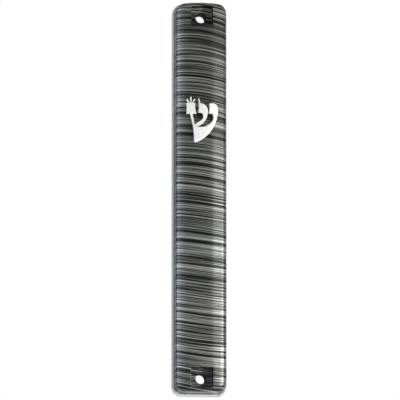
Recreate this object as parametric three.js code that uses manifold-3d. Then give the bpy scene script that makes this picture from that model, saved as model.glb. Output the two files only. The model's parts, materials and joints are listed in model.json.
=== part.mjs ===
// Mezuzah case: a press-together plastic case for a rolled parchment, with a raised letter on its front.
// Units are millimetres. +Z runs up the case, the front faces -Y, and the back face lies on Y = 0.
// The origin is the centre of the back face.

import * as THREE from 'three';
import { mergeVertices } from 'three/addons/utils/BufferGeometryUtils.js';
import Module from 'manifold-3d';

const wasm = await Module();
wasm.setup();

// ---------------------------------------------------------------- driving dimensions

// Front shell
const caseLength = 150;          // over the back cover, end to end
const shellWidth = 19.1;         // over the front shell's side walls
const caseDepth = 13;            // wall face to the crest of the front
const crownRise = 2.2;           // how far the front falls from its crest to its long edges
const edgeRadius = 2.1;          // rounding between the front and the side walls
const cornerRadius = 3;          // shell corners, seen from the front
const shellWall = 1.5;

// Screw pockets and holes
const pocketWidth = 8.3;
const pocketLength = 7.6;
const pocketDepth = 4.4;         // from the crest of the front to the pocket's floor
const pocketWall = 1.2;
const pocketFloor = 1.6;
const screwHoleRadius = 2;
const bossWall = 1.3;            // round the screw hole, from the pocket's floor back through the cover

// Back cover
const plateThickness = 1.6;
const trayHeight = 3.2;
const trayWall = 0.5;
const pryNotchWidth = 0.8;       // slot in the cover's lower wall for a thin blade
const pryNotchDepth = 1.6;
const pryNotchOffset = 7.2;      // from the centre line

// Parchment
const scrollEndPlay = 7.8;       // free length in the chamber
const scrollFrontPlay = 0.6;
const scrollCoreRadius = 2.6;

// Emblem
const emblemWidth = 11.9;
const emblemHeight = 17.4;
const emblemThickness = 1;
const emblemCentreHeight = 28.8; // above the middle of the case
const emblemPinRadius = 0.6;

// Clearance between pieces that touch
const clearance = 0.3;

// ---------------------------------------------------------------- sizes that follow

const shellHalfWidth = shellWidth / 2;
const rimOverhang = clearance + trayWall;
const shellHalfLength = caseLength / 2 - rimOverhang;
const bossRadius = screwHoleRadius + bossWall;
const screwEndRoom = Math.max(pocketLength / 2, bossRadius + clearance);
const screwHeight = shellHalfLength - shellWall - screwEndRoom;
const pocketFloorDepth = caseDepth - pocketDepth;
const shellBackDepth = plateThickness + clearance;
const bossEndDepth = clearance;
const chamberHalfLength = screwHeight - pocketLength / 2 - pocketWall;
const chamberDepth = caseDepth - shellWall - plateThickness;
const chamberWidth = shellWidth - 2 * shellWall;
const scrollRadius = (Math.min(chamberDepth, chamberWidth) - clearance - scrollFrontPlay) / 2;
const scrollLength = 2 * chamberHalfLength - scrollEndPlay;
const beyond = 5;                // how far cutters run past what they cut
const pinSides = 20;

// The letter is drawn at this size, then brought to the emblem's own size.
const drawnWidth = 11.9;
const drawnHeight = 17.4;
const drawnPinPlaces = [[-4.35, 4.2], [4.3, 4.2], [-0.9, -5.2]];
const emblemPinPlaces = drawnPinPlaces.map(([x, z]) => [
  x * emblemWidth / drawnWidth, z * emblemHeight / drawnHeight,
]);

// ---------------------------------------------------------------- solid helpers

function toSolid(geometry) {
  const bare = geometry.clone();
  bare.deleteAttribute('normal');
  bare.deleteAttribute('uv');
  const merged = mergeVertices(bare, 1e-5);
  return new wasm.Manifold(new wasm.Mesh({
    numProp: 3,
    vertProperties: new Float32Array(merged.attributes.position.array),
    triVerts: new Uint32Array(merged.index.array),
  }));
}

function toGeometry(solid) {
  const mesh = solid.getMesh();
  const geometry = new THREE.BufferGeometry();
  geometry.setAttribute('position', new THREE.BufferAttribute(mesh.vertProperties, 3));
  geometry.setIndex(new THREE.BufferAttribute(mesh.triVerts, 1));
  geometry.computeVertexNormals();
  return geometry;
}

function block(lowX, highX, lowY, highY, lowZ, highZ) {
  const geometry = new THREE.BoxGeometry(highX - lowX, highY - lowY, highZ - lowZ);
  geometry.translate((lowX + highX) / 2, (lowY + highY) / 2, (lowZ + highZ) / 2);
  return toSolid(geometry);
}

// A round bar along Y between two depths in front of the wall face.
function depthBar(radius, nearDepth, farDepth, x, z, sides = 40) {
  const geometry = new THREE.CylinderGeometry(radius, radius, farDepth - nearDepth, sides);
  geometry.translate(x, -(nearDepth + farDepth) / 2, z);
  return toSolid(geometry);
}

// Points of a rounded rectangle in the XZ plane, anticlockwise as seen from the front.
function roundedOutline(halfWidth, halfLength, radius) {
  const cornerSteps = 6;
  const endSteps = 8;
  const points = [];
  const corners = [[1, -1, -90], [1, 1, 0], [-1, 1, 90], [-1, -1, 180]];
  for (const [sideX, sideZ, startAngle] of corners) {
    for (let step = 0; step <= cornerSteps; step += 1) {
      const angle = THREE.MathUtils.degToRad(startAngle + 90 * step / cornerSteps);
      points.push([
        sideX * (halfWidth - radius) + radius * Math.cos(angle),
        sideZ * (halfLength - radius) + radius * Math.sin(angle),
      ]);
    }
    const runsAcross = sideX === sideZ;
    if (runsAcross) {
      const end = sideZ * halfLength;
      for (let step = 1; step < endSteps; step += 1) {
        points.push([sideX * (halfWidth - radius) * (1 - 2 * step / endSteps), end]);
      }
    }
  }
  return points;
}

// A closed solid through rings of equal point count, from the back ring to the front ring.
function ringSolid(rings) {
  const count = rings[0].length;
  const positions = rings.flat(2);
  const indices = [];
  for (let ring = 0; ring + 1 < rings.length; ring += 1) {
    for (let point = 0; point < count; point += 1) {
      const next = (point + 1) % count;
      const back = ring * count;
      const front = back + count;
      indices.push(back + point, back + next, front + next);
      indices.push(back + point, front + next, front + point);
    }
  }
  const flatten = (ring) => ring.map(([x, , z]) => new THREE.Vector2(x, z));
  for (const [a, b, c] of THREE.ShapeUtils.triangulateShape(flatten(rings[0]), [])) {
    indices.push(a, c, b);
  }
  const last = (rings.length - 1) * count;
  for (const [a, b, c] of THREE.ShapeUtils.triangulateShape(flatten(rings.at(-1)), [])) {
    indices.push(last + a, last + b, last + c);
  }
  const geometry = new THREE.BufferGeometry();
  geometry.setAttribute('position', new THREE.Float32BufferAttribute(positions, 3));
  geometry.setIndex(indices);
  return toSolid(geometry);
}

// How far the crowned front stands out from the wall face at a distance from the centre line.
function frontDepth(x) {
  return caseDepth - crownRise * (x / shellHalfWidth) ** 2;
}

// The case's outer form, or with an inset the hollow inside it: straight walls, a rounded edge
// and a crowned front.
function crownedForm(inset, backDepth) {
  const halfWidth = shellHalfWidth - inset;
  const halfLength = shellHalfLength - inset;
  const smallestRadius = 0.3;
  const corner = Math.max(cornerRadius - inset, smallestRadius);
  const rounding = Math.max(edgeRadius - inset, smallestRadius);
  const outlineAt = (shrink) => roundedOutline(
    halfWidth - shrink, halfLength - shrink, Math.max(corner - shrink, smallestRadius / 2),
  );
  const ringAt = (shrink, drop) => outlineAt(shrink).map(([x, z]) => [x, inset + drop - frontDepth(x), z]);

  const rings = [outlineAt(0).map(([x, z]) => [x, -backDepth, z])];
  const roundingSteps = 6;
  for (let step = 0; step <= roundingSteps; step += 1) {
    const angle = Math.PI / 2 * step / roundingSteps;
    rings.push(ringAt(rounding * (1 - Math.cos(angle)), rounding * (1 - Math.sin(angle))));
  }
  const frontSteps = 6;
  const spineHalfWidth = 0.6;
  for (let step = 1; step <= frontSteps; step += 1) {
    const reach = (halfWidth - rounding - spineHalfWidth) * step / frontSteps;
    rings.push(ringAt(rounding + reach, 0));
  }
  return ringSolid(rings);
}

// A rounded-rectangle slab between two depths in front of the wall face.
function slab(halfWidth, halfLength, corner, nearDepth, farDepth) {
  const outline = roundedOutline(halfWidth, halfLength, corner);
  return ringSolid([nearDepth, farDepth].map((depth) => outline.map(([x, z]) => [x, -depth, z])));
}

// ---------------------------------------------------------------- front shell

function frontShell() {
  const outer = crownedForm(0, shellBackDepth);
  let shell = outer.subtract(crownedForm(shellWall, -beyond));
  for (const end of [-1, 1]) {
    const inner = end * chamberHalfLength;
    const outward = end * (shellHalfLength + beyond);
    const wellHalfWidth = pocketWidth / 2 + pocketWall;
    const wellBackDepth = pocketFloorDepth - pocketFloor;
    const well = block(
      -wellHalfWidth, wellHalfWidth, -(caseDepth + beyond), -wellBackDepth,
      Math.min(inner, outward), Math.max(inner, outward),
    );
    const screwZ = end * screwHeight;
    const boss = depthBar(bossRadius, bossEndDepth, wellBackDepth + pocketFloor / 2, 0, screwZ);
    const pocket = block(
      -pocketWidth / 2, pocketWidth / 2, -(caseDepth + beyond), -pocketFloorDepth,
      screwZ - pocketLength / 2, screwZ + pocketLength / 2,
    );
    const screwHole = depthBar(screwHoleRadius, -beyond, caseDepth + beyond, 0, screwZ);
    shell = shell.add(outer.intersect(well)).add(boss).subtract(pocket).subtract(screwHole);
  }
  for (const [x, z] of emblemPinPlaces) {
    const socketRadius = emblemPinRadius + clearance;
    const nearDepth = caseDepth - shellWall - beyond;
    const socket = depthBar(socketRadius, nearDepth, caseDepth + beyond, x, emblemCentreHeight + z, pinSides);
    shell = shell.subtract(socket);
  }
  return toGeometry(shell);
}

// ---------------------------------------------------------------- back cover

function backCover() {
  const coverHalfWidth = shellHalfWidth + rimOverhang;
  const coverCorner = cornerRadius + rimOverhang;
  let cover = slab(coverHalfWidth, caseLength / 2, coverCorner, 0, trayHeight);
  cover = cover.subtract(slab(
    shellHalfWidth + clearance, shellHalfLength + clearance, cornerRadius + clearance,
    plateThickness, trayHeight + beyond,
  ));
  for (const end of [-1, 1]) {
    const passRadius = bossRadius + clearance;
    cover = cover.subtract(depthBar(passRadius, -beyond, plateThickness + beyond, 0, end * screwHeight));
  }
  const notch = block(
    pryNotchOffset - pryNotchWidth / 2, pryNotchOffset + pryNotchWidth / 2,
    -(trayHeight + beyond), -(trayHeight - pryNotchDepth),
    -caseLength / 2 - beyond, -shellHalfLength - clearance / 2,
  );
  return toGeometry(cover.subtract(notch));
}

// ---------------------------------------------------------------- emblem

// The traditional three-headed letter with three crownlets on its left head, drawn about its centre.
function letterShape() {
  const headTop = 6.25;
  const stemHalfWidth = 0.17;
  const budHalfWidth = 0.3;
  const budLength = 0.4;
  const letter = new THREE.Shape();
  letter.moveTo(-2.7, -8.7);
  letter.bezierCurveTo(2.2, -7.3, 5.7, -2.2, 5.95, 3.4);
  letter.quadraticCurveTo(6, 6.1, 3.9, headTop);
  letter.lineTo(2.6, 6.1);
  letter.quadraticCurveTo(2.9, 4.3, 2.4, 2.4);
  letter.lineTo(3.6, 2.4);
  letter.bezierCurveTo(4.9, 1.2, 4.3, -1.6, 0.6, -2.85);
  letter.lineTo(-2.3, -3.05);
  letter.bezierCurveTo(0.5, -1.6, 1.8, -0.2, 2.05, 3);
  letter.quadraticCurveTo(2, 5.6, -0.8, 6.2);
  letter.lineTo(-1.25, 8);
  letter.lineTo(-1.6, 8);
  letter.quadraticCurveTo(-1, 4.9, -1.55, 2.6);
  letter.lineTo(-0.3, 2.5);
  letter.bezierCurveTo(0.75, 1.8, 0.6, -0.1, -1.4, -0.95);
  letter.lineTo(-2.95, -2.1);
  letter.lineTo(-3.8, 2.2);
  letter.lineTo(-2.3, 2.15);
  letter.quadraticCurveTo(-3, 4.2, -2.75, 6.2);
  for (const [root, tip, rise] of [[-3.75, -3, 7.9], [-4.35, -4.35, 8.7], [-4.95, -5.7, 7.9]]) {
    letter.lineTo(root + stemHalfWidth, headTop);
    letter.lineTo(tip + budHalfWidth, rise - budLength);
    letter.lineTo(tip, rise);
    letter.lineTo(tip - budHalfWidth, rise - budLength);
    letter.lineTo(root - stemHalfWidth, headTop);
  }
  letter.lineTo(-5.95, 6.2);
  letter.quadraticCurveTo(-5.65, 4.2, -5.95, 2.2);
  letter.lineTo(-4.6, 2.2);
  letter.lineTo(-3.55, -2.1);
  letter.quadraticCurveTo(-3.1, -5, -3.1, -8.3);
  letter.closePath();
  return letter;
}

// A sheet that follows the crowned front, between two heights above its surface.
function crownSheet(low, high, halfWidth, halfHeight) {
  const steps = 16;
  const across = Array.from({ length: steps + 1 }, (_, step) => halfWidth * (2 * step / steps - 1));
  const lowEdge = across.map((x) => new THREE.Vector2(x, -frontDepth(x) - low));
  const highEdge = across.map((x) => new THREE.Vector2(x, -frontDepth(x) - high));
  const profile = new THREE.Shape([...highEdge, ...lowEdge.reverse()]);
  const geometry = new THREE.ExtrudeGeometry(profile, { depth: 2 * halfHeight, bevelEnabled: false });
  geometry.translate(0, 0, -halfHeight);
  return toSolid(geometry);
}

function shinEmblem() {
  const prism = new THREE.ExtrudeGeometry(
    letterShape(), { depth: caseDepth + beyond, bevelEnabled: false, curveSegments: 10 },
  );
  prism.scale(emblemWidth / drawnWidth, emblemHeight / drawnHeight, 1);
  prism.rotateX(Math.PI / 2);
  const sheet = crownSheet(clearance, clearance + emblemThickness, emblemWidth, emblemHeight);
  let emblem = toSolid(prism).intersect(sheet);
  for (const [x, z] of emblemPinPlaces) {
    const pinEnd = frontDepth(x) - shellWall;
    const pinRoot = frontDepth(x) + clearance + emblemThickness / 2;
    emblem = emblem.add(depthBar(emblemPinRadius, pinEnd, pinRoot, x, z, pinSides));
  }
  return toGeometry(emblem);
}

// ---------------------------------------------------------------- parchment

function parchmentScroll() {
  const profile = [
    [scrollCoreRadius, 0], [scrollRadius, 0], [scrollRadius, scrollLength], [scrollCoreRadius, scrollLength],
    [scrollCoreRadius, 0],
  ].map(([radius, height]) => new THREE.Vector2(radius, height));
  const geometry = new THREE.LatheGeometry(profile, 40);
  geometry.rotateX(Math.PI / 2);
  return toGeometry(toSolid(geometry));
}

// ---------------------------------------------------------------- assembly

function piece(name, geometry, material) {
  const mesh = new THREE.Mesh(geometry, new THREE.MeshStandardMaterial(material));
  mesh.name = name;
  return mesh;
}

const shell = piece('front_shell', frontShell(), { color: 0x4f514e, roughness: 0.22, metalness: 0 });
const cover = piece('back_cover', backCover(), { color: 0xb9bcbd, roughness: 0.2, metalness: 0 });
const emblem = piece('shin_emblem', shinEmblem(), { color: 0xe4e2dc, roughness: 0.35, metalness: 0.8 });
const scroll = piece('parchment_scroll', parchmentScroll(), { color: 0xe3d3ac, roughness: 0.8 });

emblem.position.z = emblemCentreHeight;
scroll.position.y = -(plateThickness + clearance + scrollRadius);
scroll.position.z = -chamberHalfLength + clearance;

const frontAssembly = new THREE.Group();
frontAssembly.add(shell, emblem);

const group = new THREE.Group();
group.add(cover, frontAssembly, scroll);

export default group;
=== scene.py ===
import json
import math

import bmesh
import bpy
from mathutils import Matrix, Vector, geometry


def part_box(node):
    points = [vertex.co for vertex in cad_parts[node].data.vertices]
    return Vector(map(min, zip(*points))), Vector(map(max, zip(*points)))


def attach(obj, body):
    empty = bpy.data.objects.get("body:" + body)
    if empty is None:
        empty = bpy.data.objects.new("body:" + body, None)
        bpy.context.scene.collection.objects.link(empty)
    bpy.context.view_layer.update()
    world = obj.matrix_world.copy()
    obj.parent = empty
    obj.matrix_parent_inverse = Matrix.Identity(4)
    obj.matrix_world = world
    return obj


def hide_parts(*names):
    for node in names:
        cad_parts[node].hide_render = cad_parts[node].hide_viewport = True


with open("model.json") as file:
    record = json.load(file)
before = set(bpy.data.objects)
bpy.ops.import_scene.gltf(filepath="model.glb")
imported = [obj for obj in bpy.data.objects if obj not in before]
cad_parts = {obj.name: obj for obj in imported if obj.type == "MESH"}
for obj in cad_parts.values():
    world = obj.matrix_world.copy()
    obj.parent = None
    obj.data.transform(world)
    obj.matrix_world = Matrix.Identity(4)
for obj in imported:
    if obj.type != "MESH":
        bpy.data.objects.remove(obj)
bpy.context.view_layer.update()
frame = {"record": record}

# ---------------------------------------------------------------- sizes, in millimetres

MM = 0.001

shell_low, shell_high = [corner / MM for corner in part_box("front_shell")]
cover_low, cover_high = [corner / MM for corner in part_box("back_cover")]
emblem_low, emblem_high = [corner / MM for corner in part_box("shin_emblem")]
scroll_low, scroll_high = [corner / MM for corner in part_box("parchment_scroll")]
mounts = {mount["name"]: mount["pos_m"] for mount in frame["record"]["mounts"]}

SHELL_HALF_WIDTH = shell_high.x
SHELL_HALF_LENGTH = shell_high.z
CLEARANCE = 0.3
PLATE = 1.6
SHELL_BACK = PLATE + CLEARANCE
CASE_DEPTH = -shell_low.y
CROWN_RISE = 2.2
END_BULGE = 0.45
EDGE_RADIUS = 2.1
CORNER_RADIUS = 3.0
SHELL_WALL = 1.5
LINE_DROP = 2.4

SCREW_HEIGHT = mounts["top_screw_seat"][2] / MM
POCKET_FLOOR = -mounts["top_screw_seat"][1] / MM
POCKET_HALF_WIDTH = 4.15
POCKET_HALF_LENGTH = 3.8
POCKET_CORNER = 0.45
POCKET_LIP = 0.24
POCKET_WALL = 1.2
FLOOR_THICKNESS = 1.6
HOLE_RADIUS = 2.0
HOLE_LIP = 0.3
BOSS_RADIUS = 3.3
BOSS_END = -shell_high.y

COVER_HALF_WIDTH = cover_high.x
COVER_HALF_LENGTH = cover_high.z
COVER_HEIGHT = -cover_low.y
COVER_CORNER = CORNER_RADIUS + COVER_HALF_WIDTH - SHELL_HALF_WIDTH
TRAY_WALL = 0.74
BOSS_PASS = BOSS_RADIUS + CLEARANCE
NOTCH_WIDTH = 0.8
NOTCH_DEPTH = 1.6
NOTCH_OFFSET = 7.2

EMBLEM_HEIGHT = (emblem_low.z + emblem_high.z) / 2
EMBLEM_STAND = 1.3
EMBLEM_SEAT = 0.03
EMBLEM_EDGE = 0.13
EMBLEM_PINS = [(-4.35, 4.2), (4.3, 4.2), (-0.9, -5.2)]
PIN_RADIUS = 0.6

SCROLL_RADIUS = scroll_high.x
SCROLL_CORE = 2.6
SCROLL_LENGTH = scroll_high.z - scroll_low.z
SCROLL_AXIS = (scroll_low.y + scroll_high.y) / 2


# ---------------------------------------------------------------- outlines and skins

def rounded_outline(half_width, half_length, radius, steps=8, end_steps=12, side_steps=1):
    """Points of a rounded rectangle in X and Z, anticlockwise as seen from the front."""
    flat_width = half_width - radius
    flat_length = half_length - radius
    points = []
    for side_x, side_z, start in ((1, -1, -90), (1, 1, 0), (-1, 1, 90), (-1, -1, 180)):
        for step in range(steps + 1):
            angle = math.radians(start + 90 * step / steps)
            points.append((
                side_x * flat_width + radius * math.cos(angle),
                side_z * flat_length + radius * math.sin(angle),
            ))
        on_end = side_x == side_z
        along = end_steps if on_end else side_steps
        for step in range(1, along):
            share = 1 - 2 * step / along
            if on_end:
                points.append((side_x * flat_width * share, side_z * half_length))
            else:
                points.append((side_x * half_width, side_z * flat_length * share))
    return points


def circle_outline(radius, z, steps=48):
    turns = [2 * math.pi * step / steps for step in range(steps)]
    return [(radius * math.cos(turn), z + radius * math.sin(turn)) for turn in turns]


def inside(point, outline):
    """Whether a point lies inside a closed outline."""
    x, z = point
    crossings = False
    for (x0, z0), (x1, z1) in zip(outline, outline[1:] + outline[:1]):
        if (z0 > z) != (z1 > z) and x < x0 + (z - z0) * (x1 - x0) / (z1 - z0):
            crossings = not crossings
    return crossings


def far_from(point, outline, reach):
    """Whether a point keeps at least that distance from every point and edge of an outline."""
    place = Vector(point)
    for start, end in zip(outline, outline[1:] + outline[:1]):
        a, b = Vector(start), Vector(end)
        edge = b - a
        share = max(0.0, min(1.0, (place - a).dot(edge) / max(edge.length_squared, 1e-12)))
        if (place - a - edge * share).length < reach:
            return False
    return True


def clear_of(point, outline, reach):
    """Whether a point keeps that distance from the box around an outline."""
    x, z = point
    xs = [place[0] for place in outline]
    zs = [place[1] for place in outline]
    level = min(zs) - reach < z < max(zs) + reach
    return not (level and min(xs) - reach < x < max(xs) + reach)


class Skin:
    """A closed surface put together from loops of points, bands between them and filled faces."""

    def __init__(self):
        self.points = []
        self.faces = []
        self.finishes = []

    def loop(self, outline, depth):
        """Adds a loop. depth is a distance in front of the wall face, or a rule that gives it."""
        first = len(self.points)
        for x, z in outline:
            distance = depth(x, z) if callable(depth) else depth
            self.points.append((x, -distance, z))
        return list(range(first, len(self.points)))

    def band(self, loop_a, loop_b, finish=0):
        """Joins two loops of equal count with a ring of four-sided faces."""
        count = len(loop_a)
        for index in range(count):
            following = (index + 1) % count
            self.faces.append((loop_a[index], loop_a[following], loop_b[following], loop_b[index]))
            self.finishes.append(finish)

    def bands(self, loops, finish=0):
        """Joins each loop to the one after it."""
        for loop_a, loop_b in zip(loops, loops[1:]):
            self.band(loop_a, loop_b, finish)

    def fill(self, outer, holes=(), spread=(), depth=None, finish=0):
        """Fills the space between an outer loop and hole loops, with extra points spread in it."""
        flat, index_of, edges = [], [], []
        for loop in (outer, *holes):
            start = len(flat)
            flat += [Vector((self.points[i][0], self.points[i][2])) for i in loop]
            index_of += loop
            edges += [(start + i, start + (i + 1) % len(loop)) for i in range(len(loop))]
        for x, z in spread:
            flat.append(Vector((x, z)))
            index_of.append(len(self.points))
            self.points.append((x, -depth(x, z), z))
        hole_outlines = [[(self.points[i][0], self.points[i][2]) for i in loop] for loop in holes]
        places, _, triangles, origins, _, _ = geometry.delaunay_2d_cdt(flat, edges, [], 1, 1e-6)
        for triangle in triangles:
            middle = sum((places[i] for i in triangle), Vector((0, 0))) / len(triangle)
            if any(inside(middle, outline) for outline in hole_outlines):
                continue
            self.faces.append(tuple(index_of[origins[i][0]] for i in triangle))
            self.finishes.append(finish)

    def build(self, name, finishes):
        """Makes the object, in metres, with its faces turned outward."""
        mesh = bpy.data.meshes.new(name)
        scaled = [tuple(value * MM for value in point) for point in self.points]
        mesh.from_pydata(scaled, [], self.faces)
        for polygon, finish in zip(mesh.polygons, self.finishes):
            polygon.material_index = finish
        work = bmesh.new()
        work.from_mesh(mesh)
        bmesh.ops.remove_doubles(work, verts=work.verts, dist=1e-8)
        bmesh.ops.recalc_face_normals(work, faces=work.faces)
        work.to_mesh(mesh)
        work.free()
        piece = bpy.data.objects.new(name, mesh)
        bpy.context.scene.collection.objects.link(piece)
        for finish in finishes:
            mesh.materials.append(finish)
        return piece


def apply_modifiers(piece):
    """Puts the outcome of a piece's modifiers in place of its mesh."""
    bpy.context.view_layer.update()
    graph = bpy.context.evaluated_depsgraph_get()
    mesh = bpy.data.meshes.new_from_object(piece.evaluated_get(graph))
    piece.modifiers.clear()
    old = piece.data
    piece.data = mesh
    bpy.data.meshes.remove(old)


def settle(piece, sharp_angle=35):
    """Applies a piece's modifiers and shades it smooth up to an angle."""
    apply_modifiers(piece)
    piece.data.shade_smooth()
    piece.data.set_sharp_from_angle(angle=math.radians(sharp_angle))
    return piece


def cut_away(piece, cutter, operation="DIFFERENCE"):
    """Cuts one closed solid out of another, or joins it on, and throws the cutter away."""
    cut = piece.modifiers.new("cut", "BOOLEAN")
    cut.operation = operation
    cut.object = cutter
    cut.solver = "EXACT"
    apply_modifiers(piece)
    spent = cutter.data
    bpy.data.objects.remove(cutter)
    bpy.data.meshes.remove(spent)


def solid_between(outline, near, far, finishes, finish=0):
    """A plain closed solid with straight walls between two depths."""
    skin = Skin()
    back = skin.loop(outline, near)
    front = skin.loop(outline, far)
    skin.band(back, front, finish)
    skin.fill(back, finish=finish)
    skin.fill(front, finish=finish)
    return skin.build("cutter", finishes)


# ---------------------------------------------------------------- material nodes

class Nodes:
    """Short calls for building one material's node tree."""

    def __init__(self, name):
        self.material = bpy.data.materials.new(name)
        self.material.use_nodes = True
        self.tree = self.material.node_tree
        self.shader = self.tree.nodes["Principled BSDF"]

    def put(self, kind, settings=None, **inputs):
        node = self.tree.nodes.new(kind)
        for key, value in (settings or {}).items():
            setattr(node, key, value)
        for key, value in inputs.items():
            self.feed(node.inputs[key], value)
        return node

    def feed(self, socket, value):
        if isinstance(value, bpy.types.NodeSocket):
            self.tree.links.new(value, socket)
        else:
            socket.default_value = value

    def maths(self, operation, *values):
        """The result of one arithmetic operation on sockets or numbers."""
        node = self.tree.nodes.new("ShaderNodeMath")
        node.operation = operation
        for socket, value in zip(node.inputs, values):
            self.feed(socket, value)
        return node.outputs[0]

    def place(self):
        """Object coordinates in millimetres, as X, Y and Z."""
        coordinates = self.put("ShaderNodeTexCoord").outputs["Object"]
        split = self.put("ShaderNodeSeparateXYZ")
        self.feed(split.inputs[0], coordinates)
        return [self.maths("DIVIDE", split.outputs[axis], MM) for axis in range(3)]

    def stretched(self, place, sizes, operation="DIVIDE"):
        """Coordinates divided, or multiplied, by a size along each axis."""
        return [self.maths(operation, value, size) for value, size in zip(place, sizes)]

    def grain(self, x, y, z, detail=2.0, roughness=0.5):
        """Noise at the given coordinates."""
        join = self.put("ShaderNodeCombineXYZ")
        for socket, value in zip(join.inputs, (x, y, z)):
            self.feed(socket, value)
        noise = self.put("ShaderNodeTexNoise")
        self.feed(noise.inputs["Vector"], join.outputs[0])
        noise.inputs["Scale"].default_value = 1.0
        noise.inputs["Detail"].default_value = detail
        noise.inputs["Roughness"].default_value = roughness
        return noise.outputs["Fac"]

    def rescale(self, value, low, high, to_low, to_high, smooth=False):
        node = self.put("ShaderNodeMapRange")
        node.interpolation_type = "SMOOTHSTEP" if smooth else "LINEAR"
        for key, number in (
            ("From Min", low), ("From Max", high), ("To Min", to_low), ("To Max", to_high),
        ):
            node.inputs[key].default_value = number
        self.feed(node.inputs["Value"], value)
        return node.outputs["Result"]

    def ramp(self, value, stops):
        node = self.put("ShaderNodeValToRGB")
        elements = node.color_ramp.elements
        while len(elements) < len(stops):
            elements.new(0.5)
        for element, (position, color) in zip(elements, stops):
            element.position = position
            element.color = (*color, 1)
        self.feed(node.inputs["Fac"], value)
        return node.outputs["Color"]

    def bump(self, height, strength, distance):
        node = self.put("ShaderNodeBump")
        node.inputs["Strength"].default_value = strength
        node.inputs["Distance"].default_value = distance
        self.feed(node.inputs["Height"], height)
        self.feed(self.shader.inputs["Normal"], node.outputs["Normal"])

    def finish(self, **values):
        for key, value in values.items():
            self.feed(self.shader.inputs[key.replace("_", " ")], value)
        return self.material


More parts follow.
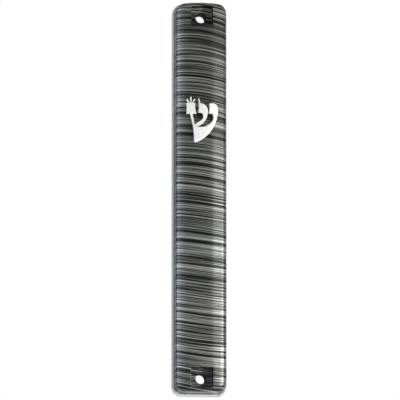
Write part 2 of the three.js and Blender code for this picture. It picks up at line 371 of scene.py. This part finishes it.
def striped_plastic():
    """Glossy printed film: fine level stripes in greys, crossed by bolder dark and pale lines.

    Every line drops a little from left to right: at the top end mostly on the right half,
    in the middle evenly, and at the foot mostly on the left half.
    """
    nodes = Nodes("striped_plastic")
    x, y, z = nodes.place()
    width = 2 * SHELL_HALF_WIDTH
    share = nodes.maths("DIVIDE", nodes.maths("ADD", x, SHELL_HALF_WIDTH), width)
    bow = nodes.maths("SUBTRACT", nodes.maths("MULTIPLY", share, share), share)
    bow_rate = nodes.rescale(z, -62, 62, -1.1, 1.25)
    drop = nodes.maths("MULTIPLY", nodes.maths("MULTIPLY_ADD", bow, bow_rate, share), LINE_DROP)
    sway = nodes.grain(*nodes.stretched((x, y, z), (40, 30, 14)), 1.0)
    level = nodes.maths("ADD", z, drop)
    level = nodes.maths("MULTIPLY_ADD", nodes.maths("SUBTRACT", sway, 0.5), 0.8, level)

    def streaks(across, along, offset, detail=1.0):
        """Soft long streaks, as -1 to 1."""
        noise = nodes.grain(
            nodes.maths("DIVIDE", x, across), nodes.maths("ADD", nodes.maths("DIVIDE", y, 40), offset),
            nodes.maths("DIVIDE", level, along), detail, 0.6,
        )
        return nodes.rescale(noise, 0.3, 0.7, -1, 1)

    def lines(spacing, thinnest, thickest, offset):
        """Separate lines at uneven spacing. Gives how far inside a line a point is, the distance
        above the line's middle, half its thickness and a trait of its own from 0 to 1."""
        cells = nodes.put("ShaderNodeTexVoronoi", {"voronoi_dimensions": "1D", "feature": "F1"})
        measure = nodes.maths("ADD", nodes.maths("DIVIDE", level, spacing), offset)
        nodes.feed(cells.inputs["W"], measure)
        cells.inputs["Scale"].default_value = 1.0
        cells.inputs["Randomness"].default_value = 0.9
        traits = nodes.put("ShaderNodeSeparateColor")
        nodes.feed(traits.inputs[0], cells.outputs["Color"])
        half = nodes.rescale(traits.outputs[0], 0.1, 0.9, thinnest / 2, thickest / 2)
        above = nodes.maths("MULTIPLY", nodes.maths("SUBTRACT", measure, cells.outputs["W"]), spacing)
        return edged(half, above), above, half, traits.outputs[1]

    def edged(half, above):
        """1 within half a thickness of a line's middle, with a narrow soft edge."""
        edge = nodes.maths("DIVIDE", nodes.maths("SUBTRACT", half, nodes.maths("ABSOLUTE", above)), 0.14)
        clamp = nodes.put("ShaderNodeClamp")
        nodes.feed(clamp.inputs[0], nodes.maths("ADD", edge, 0.5))
        return clamp.outputs[0]

    fine = streaks(36, 0.27, 3.1)
    middling = streaks(70, 0.55, 11.7)
    broad = streaks(90, 3.2, 23.9)
    tone = nodes.maths("MULTIPLY_ADD", fine, 0.54, 0.55)
    tone = nodes.maths("MULTIPLY_ADD", middling, 0.22, tone)
    tone = nodes.maths("MULTIPLY_ADD", broad, 0.04, tone)
    along_line = nodes.rescale(streaks(26, 3.0, 71.3), -0.6, 0.6, 0.45, 1.0, smooth=True)
    bold, above, half, trait = lines(3.7, 0.3, 0.95, 7.3)
    faint, _, _, _ = lines(1.4, 0.2, 0.38, 31.9)
    gap = nodes.maths("SUBTRACT", above, nodes.maths("ADD", half, 0.24))
    pale = edged(0.13, gap)
    bold_strength = nodes.maths("MULTIPLY", bold, nodes.rescale(trait, 0, 1, 0.4, 0.95))
    bold_strength = nodes.maths("MULTIPLY", bold_strength, nodes.rescale(along_line, 0, 1, 0.55, 1.0))
    faint_strength = nodes.maths("MULTIPLY", faint, nodes.maths("MULTIPLY", along_line, 0.45))
    pale_strength = nodes.maths("MULTIPLY", pale, nodes.rescale(trait, 0.3, 1, 0.0, 0.45))
    tone = nodes.maths("SUBTRACT", nodes.maths("ADD", tone, pale_strength), bold_strength)
    tone = nodes.maths("SUBTRACT", tone, faint_strength)
    color = nodes.ramp(tone, [
        (0.0, (0.004, 0.005, 0.004)),
        (0.25, (0.022, 0.024, 0.022)),
        (0.5, (0.1, 0.103, 0.096)),
        (0.75, (0.225, 0.225, 0.212)),
        (1.0, (0.4, 0.4, 0.384)),
    ])
    tint = nodes.rescale(streaks(12, 2.2, 91.7), -0.6, 0.6, 0, 1)
    tints = nodes.ramp(tint, [(0.0, (0.96, 1.0, 0.95)), (1.0, (1.01, 0.99, 0.99))])
    mix = nodes.put("ShaderNodeMix", {"data_type": "RGBA", "blend_type": "MULTIPLY"})
    mix.inputs["Factor"].default_value = 1.0
    nodes.feed(mix.inputs[6], color)
    nodes.feed(mix.inputs[7], tints)
    nodes.bump(tone, 0.04, 0.00002)
    return nodes.finish(
        Base_Color=mix.outputs[2], Metallic=0.45, IOR=1.5, Roughness=nodes.rescale(fine, -1, 1, 0.27, 0.21),
    )


def bare_plastic_and_pocket_shade():
    """The shell's own black plastic, with the faint satin a steel mould leaves; also painted shade on the
    pocket walls.
    """
    nodes = Nodes("bare_plastic_and_pocket_shade")
    place = nodes.place()
    haze = nodes.grain(*nodes.stretched(place, (2, 2, 6)), 3.0)
    fine = nodes.grain(*nodes.stretched(place, (9, 9, 9), "MULTIPLY"))
    color = nodes.ramp(haze, [(0.3, (0.006, 0.006, 0.007)), (0.7, (0.011, 0.011, 0.012))])
    nodes.bump(fine, 0.1, 0.00003)
    return nodes.finish(
        Base_Color=color, Specular_IOR_Level=0.12, Roughness=nodes.rescale(haze, 0, 1, 0.6, 0.75),
    )


def clear_plastic():
    """Clear moulded plastic, a little hazy, with faint flow marks."""
    nodes = Nodes("clear_plastic")
    flow = nodes.grain(*nodes.stretched(nodes.place(), (5, 5, 24)), 2.0)
    color = nodes.ramp(flow, [(0.3, (0.86, 0.865, 0.87)), (0.7, (0.92, 0.925, 0.93))])
    nodes.bump(flow, 0.03, 0.00004)
    return nodes.finish(
        Base_Color=color, Transmission_Weight=0.62, IOR=1.49,
        Roughness=nodes.rescale(flow, 0.3, 0.7, 0.1, 0.2),
    )


def satin_silver():
    """Satin silver plating, faintly mottled, with a very fine grain."""
    nodes = Nodes("satin_silver")
    place = nodes.place()
    cloud = nodes.grain(*place, 2.0)
    fine = nodes.grain(*nodes.stretched(place, (7, 7, 7), "MULTIPLY"), 3.0)
    color = nodes.ramp(cloud, [(0.3, (0.8, 0.798, 0.755)), (0.7, (0.93, 0.928, 0.89))])
    nodes.bump(fine, 0.15, 0.00002)
    return nodes.finish(
        Base_Color=color, Metallic=0.2, Roughness=nodes.rescale(cloud, 0.3, 0.7, 0.36, 0.44),
    )


def parchment():
    """Scraped skin: cream, with paler and browner clouds, fine pores and soft fibre marks."""
    nodes = Nodes("parchment")
    place = nodes.place()
    cloud = nodes.grain(*nodes.stretched(place, (5, 5, 11)), 4.0)
    fibre = nodes.grain(*nodes.stretched(place, (3, 3, 0.7), "MULTIPLY"), 3.0, 0.65)
    pores = nodes.grain(*nodes.stretched(place, (6, 6, 6), "MULTIPLY"))
    tone = nodes.maths("MULTIPLY_ADD", fibre, 0.4, nodes.maths("MULTIPLY", cloud, 0.6))
    color = nodes.ramp(tone, [
        (0.3, (0.55, 0.42, 0.24)), (0.5, (0.74, 0.62, 0.41)), (0.7, (0.84, 0.75, 0.56)),
    ])
    nodes.bump(nodes.maths("ADD", pores, fibre), 0.35, 0.00006)
    return nodes.finish(Base_Color=color, Roughness=nodes.rescale(tone, 0.3, 0.7, 0.62, 0.8))


def plain_paint(name, color, roughness, glow):
    """One even colour. glow is how much light it gives off by itself."""
    nodes = Nodes(name)
    return nodes.finish(
        Base_Color=(*color, 1), Roughness=roughness, Emission_Color=(1, 1, 1, 1), Emission_Strength=glow,
    )


# ---------------------------------------------------------------- front shell

def front_depth(x, z, inset=0.0):
    """How far the crowned front with its rounded edges stands out from the wall face.

    inset gives the same form made smaller all round, which is the hollow behind the wall.
    """
    rounding = EDGE_RADIUS - inset
    across = abs(x) - (SHELL_HALF_WIDTH - CORNER_RADIUS)
    along = abs(z) - (SHELL_HALF_LENGTH - CORNER_RADIUS)
    beyond = math.hypot(max(across, 0), max(along, 0)) + min(max(across, along), 0)
    reach = min(max(rounding - (CORNER_RADIUS - inset - beyond), 0), rounding)
    crown = CASE_DEPTH - CROWN_RISE * (x / SHELL_HALF_WIDTH) ** 2
    return crown - inset - (rounding - math.sqrt(rounding ** 2 - reach ** 2))


def form_outline(inset, shrink, side_steps):
    """The shell's outline, made smaller all round by both distances."""
    size = inset + shrink
    return rounded_outline(
        SHELL_HALF_WIDTH - size, SHELL_HALF_LENGTH - size, CORNER_RADIUS - size,
        steps=8, end_steps=14, side_steps=side_steps,
    )


def crowned_form(skin, inset, back, steps, side_steps, hole_loops, finish):
    """Adds the walls, the rounded edge and the crowned front, open at the back.

    Returns the back loop.
    """
    rounding = EDGE_RADIUS - inset
    hole_margin = 0.16
    whole_ring_limit = 0.42 * rounding
    holes = [[(skin.points[i][0], skin.points[i][2]) for i in loop] for loop in hole_loops]
    loops = [skin.loop(form_outline(inset, 0, side_steps), back)]
    spread = []
    for step in range(steps + 1):
        shrink = rounding * (1 - math.cos(math.pi / 2 * step / steps))
        outline = form_outline(inset, shrink, side_steps)
        if shrink <= whole_ring_limit:
            loops.append(skin.loop(outline, lambda x, z: front_depth(x, z, inset)))
        else:
            spread += outline
    columns, rows = 20, side_steps + 4
    half_x = SHELL_HALF_WIDTH - EDGE_RADIUS
    half_z = SHELL_HALF_LENGTH - EDGE_RADIUS
    for row in range(1, rows):
        for column in range(1, columns):
            spread.append((half_x * (2 * column / columns - 1), half_z * (2 * row / rows - 1)))
    spread = [point for point in spread if all(clear_of(point, hole, hole_margin) for hole in holes)]
    skin.bands(loops, finish)
    skin.fill(loops[-1], hole_loops, spread, lambda x, z: front_depth(x, z, inset), finish)
    return loops[0]


def arch_ends(piece):
    """Draws the corners of both ends back a little, so that each end is a shallow arch."""
    arch_start = 55
    arch_run = 15
    for vertex in piece.data.vertices:
        x, z = vertex.co.x / MM, vertex.co.z / MM
        nearness = min(max((abs(z) - arch_start) / arch_run, 0), 1)
        pull = END_BULGE * (x / SHELL_HALF_WIDTH) ** 2 * nearness
        vertex.co.z -= math.copysign(pull * MM, z)


def pocket_outline(grow, end):
    """A screw pocket's outline at one end, made larger all round by a distance."""
    outline = rounded_outline(
        POCKET_HALF_WIDTH + grow, POCKET_HALF_LENGTH + grow, POCKET_CORNER + grow, steps=6, end_steps=10,
    )
    return [(x, z + end * SCREW_HEIGHT) for x, z in outline]


def screw_pocket(skin, end, back_depth):
    """One pocket with a rounded lip, its floor, the screw hole and the boss behind it.

    Returns the lip, and the loop where the boss stands out of the shell's back.
    """
    loops = []
    lip_steps = 5
    for step in range(lip_steps + 1):
        angle = math.pi / 2 * step / lip_steps
        grow = POCKET_LIP * (1 - math.sin(angle))
        sink = POCKET_LIP * (1 - math.cos(angle))
        loops.append(skin.loop(pocket_outline(grow, end), lambda x, z, sink=sink: front_depth(x, z) - sink))
    foot = 0.3
    foot_steps = 3
    for step in range(foot_steps + 1):
        angle = math.pi / 2 * step / foot_steps
        shrink = foot * (1 - math.cos(angle))
        depth = POCKET_FLOOR + foot * (1 - math.sin(angle))
        loops.append(skin.loop(pocket_outline(-shrink, end), depth))
    lip, foot_loops = loops[:lip_steps + 1], loops[lip_steps + 1:]
    skin.bands(lip)
    # The pocket walls take the near-black bare plastic as painted shade that darkens each pocket.
    skin.bands([lip[-1], *foot_loops[:2]], 1)
    skin.bands(foot_loops[1:])
    hole = []
    hole_steps = 4
    for step in range(hole_steps + 1):
        angle = math.pi / 2 * step / hole_steps
        radius = HOLE_RADIUS + HOLE_LIP * (1 - math.sin(angle))
        depth = POCKET_FLOOR - HOLE_LIP * (1 - math.cos(angle))
        hole.append(skin.loop(circle_outline(radius, end * SCREW_HEIGHT), depth))
    skin.fill(loops[-1], [hole[0]])
    skin.bands(hole)
    place = end * SCREW_HEIGHT
    edge = 0.2
    boss = [
        skin.loop(circle_outline(HOLE_RADIUS, place), BOSS_END),
        skin.loop(circle_outline(BOSS_RADIUS - edge, place), BOSS_END),
        skin.loop(circle_outline(BOSS_RADIUS, place), BOSS_END + edge),
        skin.loop(circle_outline(BOSS_RADIUS, place), back_depth),
    ]
    skin.bands([hole[-1], *boss], 1)
    return loops[0], boss[-1]


def chamber_cutter(finishes):
    """The hollow behind the front: all of the inside but the pockets' walls and the screw bosses."""
    past_back = -3.0
    past_front = 5
    boss_overlap = 0.4
    skin = Skin()
    back = crowned_form(skin, SHELL_WALL, past_back, 5, 40, [], 1)
    skin.fill(back, finish=1)
    chamber = skin.build("chamber", finishes)
    well_half_width = POCKET_HALF_WIDTH + POCKET_WALL
    well_start = SCREW_HEIGHT - POCKET_HALF_LENGTH - POCKET_WALL
    well_back = POCKET_FLOOR - FLOOR_THICKNESS
    well_half_length = (SHELL_HALF_LENGTH + past_front - well_start) / 2
    well_middle = well_start + well_half_length
    for end in (-1, 1):
        well = rounded_outline(well_half_width, well_half_length, 0.5, 4, 4)
        well = [(x, z + end * well_middle) for x, z in well]
        cut_away(chamber, solid_between(well, well_back, CASE_DEPTH + past_front, finishes, 1))
        boss = circle_outline(BOSS_RADIUS, end * SCREW_HEIGHT)
        cut_away(chamber, solid_between(boss, past_back - 1, well_back + boss_overlap, finishes, 1))
    return chamber


def make_front_shell():
    """The striped shell, with its screw pockets, its hollow and the sockets for the letter's pins."""
    socket_radius = PIN_RADIUS + 0.2
    socket_depth = 5
    finishes = [striped_plastic(), bare_plastic_and_pocket_shade()]
    skin = Skin()
    pockets = [screw_pocket(skin, end, SHELL_BACK) for end in (-1, 1)]
    back = crowned_form(skin, 0, SHELL_BACK, 10, 96, [lip for lip, _ in pockets], 0)
    skin.fill(back, [boss for _, boss in pockets], finish=1)
    shell = skin.build("striped_front", finishes)
    cut_away(shell, chamber_cutter(finishes))
    for x, z in EMBLEM_PINS:
        socket = [(x + px, EMBLEM_HEIGHT + z + pz) for px, pz in circle_outline(socket_radius, 0, 24)]
        cut_away(shell, solid_between(socket, CASE_DEPTH - socket_depth, CASE_DEPTH + 1, finishes, 1))
    arch_ends(shell)
    return settle(shell)


# ---------------------------------------------------------------- back cover

def make_back_cover():
    """The clear tray, with a pass hole for each screw boss and the slot in its lower wall."""
    notch_half_length = 1.5
    notch_corner = 0.2
    clear = clear_plastic()
    skin = Skin()
    edge = 0.35
    lip = 0.22
    foot = 0.3
    inner_half_width = COVER_HALF_WIDTH - TRAY_WALL
    inner_half_length = COVER_HALF_LENGTH - TRAY_WALL
    inner_corner = COVER_CORNER - TRAY_WALL

    def outer(shrink, depth):
        return skin.loop(rounded_outline(
            COVER_HALF_WIDTH - shrink, COVER_HALF_LENGTH - shrink, COVER_CORNER - shrink, 10,
        ), depth)

    def inner(shrink, depth):
        return skin.loop(rounded_outline(
            inner_half_width - shrink, inner_half_length - shrink, inner_corner - shrink, 10,
        ), depth)

    loops = []
    steps = 4
    for step in range(steps + 1):
        angle = math.pi / 2 * step / steps
        loops.append(outer(edge * (1 - math.sin(angle)), edge * (1 - math.cos(angle))))
    for step in range(steps + 1):
        angle = math.pi / 2 * step / steps
        loops.append(outer(lip * (1 - math.cos(angle)), COVER_HEIGHT - lip * (1 - math.sin(angle))))
    for step in range(steps + 1):
        angle = math.pi / 2 * step / steps
        loops.append(inner(-lip * (1 - math.sin(angle)), COVER_HEIGHT - lip * (1 - math.cos(angle))))
    for step in range(steps + 1):
        angle = math.pi / 2 * step / steps
        loops.append(inner(foot * (1 - math.cos(angle)), PLATE + foot * (1 - math.sin(angle))))
    skin.bands(loops)

    back_holes, floor_holes = [], []
    for end in (-1, 1):
        place = end * SCREW_HEIGHT

        def ring(radius, depth):
            return skin.loop(circle_outline(radius, place), depth)

        hole = [
            ring(BOSS_PASS + lip, PLATE), ring(BOSS_PASS + lip * 0.3, PLATE - lip * 0.3),
            ring(BOSS_PASS, PLATE - lip), ring(BOSS_PASS, lip),
            ring(BOSS_PASS + lip * 0.3, lip * 0.3), ring(BOSS_PASS + lip, 0),
        ]
        skin.bands(hole)
        floor_holes.append(hole[0])
        back_holes.append(hole[-1])
    skin.fill(loops[0], back_holes)
    skin.fill(loops[-1], floor_holes)
    cover = skin.build("clear_back", [clear])
    notch = rounded_outline(NOTCH_WIDTH / 2, notch_half_length, notch_corner, steps=3, end_steps=3)
    notch = [(x + NOTCH_OFFSET, z - COVER_HALF_LENGTH) for x, z in notch]
    cut_away(cover, solid_between(notch, COVER_HEIGHT - NOTCH_DEPTH, COVER_HEIGHT + 3, [clear]))
    return settle(cover)


# ---------------------------------------------------------------- emblem

def curve_points(points, steps):
    """Points along a Bezier curve of any degree, without its first point."""
    degree = len(points) - 1
    result = []
    for step in range(1, steps + 1):
        share = step / steps
        weights = [
            math.comb(degree, i) * (1 - share) ** (degree - i) * share ** i for i in range(degree + 1)
        ]
        result.append((
            sum(weight * point[0] for weight, point in zip(weights, points)),
            sum(weight * point[1] for weight, point in zip(weights, points)),
        ))
    return result


def letter_outline():
    """The traditional three-headed letter with three crownlets, about its centre."""
    head_top = 6.25
    stem_half_width = 0.17
    bud_half_width = 0.3
    bud_length = 0.4
    pen = [(-2.7, -8.7)]

    def line(x, z):
        pen.append((x, z))

    def curve(*points, steps=14):
        pen.extend(curve_points([pen[-1], *points], steps))

    curve((2.2, -7.3), (5.7, -2.2), (5.95, 3.4), steps=26)
    curve((6.0, 6.1), (3.9, head_top))
    line(2.6, 6.1)
    curve((2.9, 4.3), (2.4, 2.4))
    line(3.6, 2.4)
    curve((4.9, 1.2), (4.3, -1.6), (0.6, -2.85), steps=18)
    line(-2.3, -3.05)
    curve((0.5, -1.6), (1.8, -0.2), (2.05, 3.0), steps=18)
    curve((2.0, 5.6), (-0.8, 6.2))
    line(-1.25, 8.0)
    line(-1.6, 8.0)
    curve((-1.0, 4.9), (-1.55, 2.6), steps=10)
    line(-0.3, 2.5)
    curve((0.75, 1.8), (0.6, -0.1), (-1.4, -0.95), steps=16)
    line(-2.95, -2.1)
    line(-3.8, 2.2)
    line(-2.3, 2.15)
    curve((-3.0, 4.2), (-2.75, 6.2), steps=8)
    for root, tip, rise in ((-3.75, -3.0, 7.9), (-4.35, -4.35, 8.7), (-4.95, -5.7, 7.9)):
        line(root + stem_half_width, head_top)
        line(tip + bud_half_width, rise - bud_length)
        line(tip, rise)
        line(tip - bud_half_width, rise - bud_length)
        line(root - stem_half_width, head_top)
    line(-5.95, 6.2)
    curve((-5.65, 4.2), (-5.95, 2.2), steps=8)
    line(-4.6, 2.2)
    line(-3.55, -2.1)
    curve((-3.1, -5.0), (-3.1, -8.3), steps=8)
    return pen


def shrunk(outline, distance):
    """The outline moved inwards, with its corners kept at a limited reach."""
    moved = []
    count = len(outline)
    for index in range(count):
        before = Vector(outline[index - 1])
        here = Vector(outline[index])
        after = Vector(outline[(index + 1) % count])
        edge_in = (here - before).normalized()
        edge_out = (after - here).normalized()
        inward = Vector((-edge_in.y - edge_out.y, edge_in.x + edge_out.x))
        if inward.length < 1e-6:
            inward = Vector((-edge_in.y, edge_in.x))
        inward.normalize()
        slant = max(inward.dot(Vector((-edge_in.y, edge_in.x))), 0.55)
        moved.append(tuple(here + inward * distance / slant))
    return moved


def make_emblem():
    """The raised letter, with a rounded edge and three pins behind it."""
    grid_step = 0.5
    edge_margin = 0.15
    pin_setback = 0.05
    silver = satin_silver()
    skin = Skin()
    letter = letter_outline()

    def raised(outline, stand):
        lifted = [(x, z + EMBLEM_HEIGHT) for x, z in outline]
        return skin.loop(lifted, lambda x, z: front_depth(x, z) + stand)

    loops = [raised(letter, EMBLEM_SEAT)]
    steps = 4
    for step in range(steps + 1):
        angle = math.pi / 2 * step / steps
        shrink = EMBLEM_EDGE * (1 - math.cos(angle))
        loops.append(raised(shrunk(letter, shrink), EMBLEM_STAND - EMBLEM_EDGE * (1 - math.sin(angle))))
    skin.bands(loops)
    top = [(skin.points[i][0], skin.points[i][2]) for i in loops[-1]]
    grid = [
        (x * grid_step, EMBLEM_HEIGHT + z * grid_step) for x in range(-12, 13) for z in range(-18, 19)
    ]
    spread = [point for point in grid if inside(point, top) and far_from(point, top, edge_margin)]
    skin.fill(loops[-1], spread=spread, depth=lambda x, z: front_depth(x, z) + EMBLEM_STAND)
    skin.fill(loops[0])
    emblem = skin.build("silver_letter", [silver])
    for x, z in EMBLEM_PINS:
        pin = [(x + px, EMBLEM_HEIGHT + z + pz) for px, pz in circle_outline(PIN_RADIUS, 0, 24)]
        pin_end = front_depth(x, EMBLEM_HEIGHT) - SHELL_WALL + pin_setback
        pin_root = front_depth(x, EMBLEM_HEIGHT) + EMBLEM_STAND / 2
        cut_away(emblem, solid_between(pin, pin_end, pin_root, [silver]), "UNION")
    return settle(emblem, 50)


# ---------------------------------------------------------------- parchment

def scroll_tree():
    """A sheet rolled into a spiral: a flat grid whose places follow the roll's rule."""
    looseness = 0.00012
    inner_tuck = 0.0004
    tree = bpy.data.node_groups.new("rolled_sheet", "GeometryNodeTree")
    face = tree.interface
    face.new_socket("Geometry", in_out="OUTPUT", socket_type="NodeSocketGeometry")
    sizes = {
        "Length": SCROLL_LENGTH * MM, "Core Radius": SCROLL_CORE * MM, "Outer Radius": SCROLL_RADIUS * MM,
        "Turns": 5.6, "End Slant": 0.0006,
    }
    for name, value in sizes.items():
        socket = face.new_socket(name, in_out="INPUT", socket_type="NodeSocketFloat")
        socket.default_value = value
    face.new_socket("Finish", in_out="INPUT", socket_type="NodeSocketMaterial")
    nodes, links = tree.nodes, tree.links
    inputs = nodes.new("NodeGroupInput").outputs
    output = nodes.new("NodeGroupOutput")

    def math_node(operation, *values):
        node = nodes.new("ShaderNodeMath")
        node.operation = operation
        for socket, value in zip(node.inputs, values):
            if isinstance(value, bpy.types.NodeSocket):
                links.new(value, socket)
            else:
                socket.default_value = value
        return node.outputs[0]

    grid = nodes.new("GeometryNodeMeshGrid")
    grid.inputs["Size X"].default_value = 1.0
    grid.inputs["Vertices X"].default_value = 340
    grid.inputs["Vertices Y"].default_value = 36
    links.new(inputs["Length"], grid.inputs["Size Y"])
    position = nodes.new("GeometryNodeInputPosition")
    split = nodes.new("ShaderNodeSeparateXYZ")
    links.new(position.outputs[0], split.inputs[0])
    share = math_node("ADD", split.outputs[0], 0.5)
    turn = math_node("MULTIPLY", math_node("MULTIPLY", share, inputs["Turns"]), 2 * math.pi)
    room = math_node("SUBTRACT", inputs["Outer Radius"], inputs["Core Radius"])
    radius = math_node("MULTIPLY_ADD", share, room, inputs["Core Radius"])
    noise = nodes.new("ShaderNodeTexNoise")
    noise.noise_dimensions = "2D"
    noise.inputs["Scale"].default_value = 9.0
    noise.inputs["Detail"].default_value = 1.0
    links.new(position.outputs[0], noise.inputs["Vector"])
    loose = math_node("MULTIPLY", math_node("SUBTRACT", noise.outputs["Fac"], 0.5), looseness)
    radius = math_node("ADD", radius, loose)
    slant = math_node("MULTIPLY", math_node("SUBTRACT", share, 0.5), inputs["End Slant"])
    tuck = math_node("MULTIPLY", math_node("SUBTRACT", 1.0, share), inner_tuck)
    height = math_node("SUBTRACT", math_node("ADD", split.outputs[1], slant), tuck)
    join = nodes.new("ShaderNodeCombineXYZ")
    links.new(math_node("MULTIPLY", radius, math_node("COSINE", turn)), join.inputs[0])
    links.new(math_node("MULTIPLY", radius, math_node("SINE", turn)), join.inputs[1])
    links.new(height, join.inputs[2])
    move = nodes.new("GeometryNodeSetPosition")
    links.new(grid.outputs["Mesh"], move.inputs["Geometry"])
    links.new(join.outputs[0], move.inputs["Position"])
    realize = nodes.new("GeometryNodeRealizeInstances")
    links.new(move.outputs[0], realize.inputs[0])
    finish = nodes.new("GeometryNodeSetMaterial")
    links.new(realize.outputs[0], finish.inputs["Geometry"])
    links.new(inputs["Finish"], finish.inputs["Material"])
    links.new(finish.outputs[0], output.inputs[0])
    return tree


def make_scroll():
    """The rolled parchment, kept a little inside its room so that uneven ends and turns still fit."""
    thickness = 0.22
    end_room = 1.2
    core_room = 0.3
    outer_room = 0.25
    skin_finish = parchment()
    tree = scroll_tree()
    sheet = bpy.data.objects.new("rolled_parchment", bpy.data.meshes.new("rolled_parchment"))
    bpy.context.scene.collection.objects.link(sheet)
    roll = sheet.modifiers.new("roll", "NODES")
    roll.node_group = tree
    sockets = {item.name: item.identifier for item in tree.interface.items_tree if item.in_out == "INPUT"}
    roll[sockets["Length"]] = (SCROLL_LENGTH - end_room) * MM
    roll[sockets["Core Radius"]] = (SCROLL_CORE + core_room) * MM
    roll[sockets["Outer Radius"]] = (SCROLL_RADIUS - outer_room) * MM
    roll[sockets["Finish"]] = skin_finish
    settle(sheet, 60)
    middle = Vector((0, SCROLL_AXIS, (scroll_low.z + scroll_high.z) / 2)) * MM
    for vertex in sheet.data.vertices:
        vertex.co += middle
    body = sheet.modifiers.new("thickness", "SOLIDIFY")
    body.thickness = thickness * MM
    body.offset = 0
    settle(sheet, 60)
    if not sheet.data.materials:
        sheet.data.materials.append(skin_finish)
    return sheet


# ---------------------------------------------------------------- camera and light

def aim(thing, target):
    """Turns a camera or a light to face a point."""
    direction = Vector(target) - thing.location
    thing.rotation_euler = direction.to_track_quat("-Z", "Y").to_euler()


def make_camera():
    """A long lens, a little to the left of the case and below its middle."""
    azimuth = math.radians(-6.0)
    elevation = math.radians(-8.8)
    distance = 1.5
    frame_width = 0.1512
    sensor_width = 36
    target = Vector((-0.00010, -0.006, -0.0008))
    back = Vector((
        math.sin(azimuth) * math.cos(elevation), -math.cos(azimuth) * math.cos(elevation),
        math.sin(elevation),
    ))
    camera = bpy.data.objects.new("camera", bpy.data.cameras.new("camera"))
    bpy.context.scene.collection.objects.link(camera)
    camera.location = target + back * distance
    aim(camera, target)
    camera.data.sensor_width = sensor_width
    camera.data.lens = sensor_width * distance / frame_width
    camera.data.clip_start = 0.01
    camera.data.clip_end = 20
    bpy.context.scene.camera = camera


def softbox(name, place, target, width, height, radiance, color, lights=("diffuse", "glossy")):
    """A flat rectangular light. radiance is what a mirror would show of it."""
    light = bpy.data.lights.new(name, "AREA")
    light.shape = "RECTANGLE"
    light.size = width
    light.size_y = height
    light.energy = radiance * math.pi * width * height
    light.color = color
    box = bpy.data.objects.new(name, light)
    box.location = place
    aim(box, target)
    box.visible_camera = False
    box.visible_diffuse = "diffuse" in lights
    box.visible_glossy = "glossy" in lights
    box.visible_transmission = "glossy" in lights
    bpy.context.scene.collection.objects.link(box)


def around(azimuth, distance, height):
    """A place round the case. Azimuth 0 is straight in front and 90 is on its right."""
    turn = math.radians(azimuth)
    return (distance * math.sin(turn), -distance * math.cos(turn), height)


def make_light():
    """Soft panels that show as highlights, lamps that only light, and a white surround.

    The right panel is in three steps, brightest at the foot, so its highlight fades upward.
    """
    cool = (0.72, 0.83, 1.0)
    white = (1.0, 1.0, 0.99)
    shine_only = ("glossy",)
    fill_only = ("diffuse",)
    panel_height = 0.07
    softbox("left_softbox", around(-92, 0.5, 0.08), (0, 0, 0.08), 0.45, 0.6, 2.4, cool)
    softbox("left_glow", around(-50, 0.5, 0.08), (0, 0, 0.08), 0.34, 0.6, 1.2, cool, shine_only)
    for step, radiance in enumerate((9.4, 5.0, 2.2)):
        level = panel_height * (step - 0.5)
        softbox(
            f"right_softbox_{step + 1}", around(63, 0.5, level), (0, 0, level), 0.34, panel_height,
            radiance, white, shine_only,
        )
    softbox("right_strip", around(36, 0.5, 0.055), (0, 0, 0.055), 0.1, 0.14, 4.2, white, shine_only)
    softbox(
        "front_lamp", around(44, 0.25, -0.11), (0, 0, 0), 0.04, 0.04, 170.0, (1.0, 1.0, 0.98), fill_only,
    )
    softbox("back_lamp", around(168, 0.7, 0.25), (0, 0, 0), 0.4, 0.4, 2.5, (1.0, 1.0, 1.0), fill_only)
    softbox("floor_lamp", (0, 0.3, 1.0), (0, 0.3, 0), 1.2, 1.2, 3.2, (1.0, 1.0, 1.0), fill_only)
    world = bpy.data.worlds.new("studio")
    world.use_nodes = True
    bpy.context.scene.world = world
    nodes, links = world.node_tree.nodes, world.node_tree.links
    nodes.clear()
    ray = nodes.new("ShaderNodeLightPath")
    shown = None
    for kind, strength in (
        (None, 0.15), ("Is Glossy Ray", 0.24), ("Is Transmission Ray", 0.34), ("Is Camera Ray", 1.0),
    ):
        background = nodes.new("ShaderNodeBackground")
        background.inputs["Color"].default_value = (1, 1, 1, 1)
        background.inputs["Strength"].default_value = strength
        if shown is None:
            shown = background.outputs[0]
            continue
        mix = nodes.new("ShaderNodeMixShader")
        links.new(ray.outputs[kind], mix.inputs[0])
        links.new(shown, mix.inputs[1])
        links.new(background.outputs[0], mix.inputs[2])
        shown = mix.outputs[0]
    output = nodes.new("ShaderNodeOutputWorld")
    links.new(shown, output.inputs[0])


def make_floor():
    """A plain pale floor, well below the case."""
    half = 3.0
    level = -0.45
    mesh = bpy.data.meshes.new("floor")
    mesh.from_pydata(
        [(-half, -half, level), (half, -half, level), (half, half, level), (-half, half, level)],
        [], [(0, 1, 2, 3)],
    )
    mesh.materials.append(plain_paint("pale_floor", (0.9, 0.9, 0.9), roughness=0.8, glow=0.4))
    floor = bpy.data.objects.new("floor", mesh)
    bpy.context.scene.collection.objects.link(floor)


# ---------------------------------------------------------------- assembly

make_camera()
make_light()
make_floor()
bpy.context.scene.view_settings.view_transform = "Standard"

shell = make_front_shell()
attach(shell, "front")
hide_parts("front_shell")

cover = make_back_cover()
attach(cover, "back")
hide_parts("back_cover")

emblem = make_emblem()
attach(emblem, "front")
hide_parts("shin_emblem")

scroll = make_scroll()
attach(scroll, "scroll")
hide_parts("parchment_scroll")
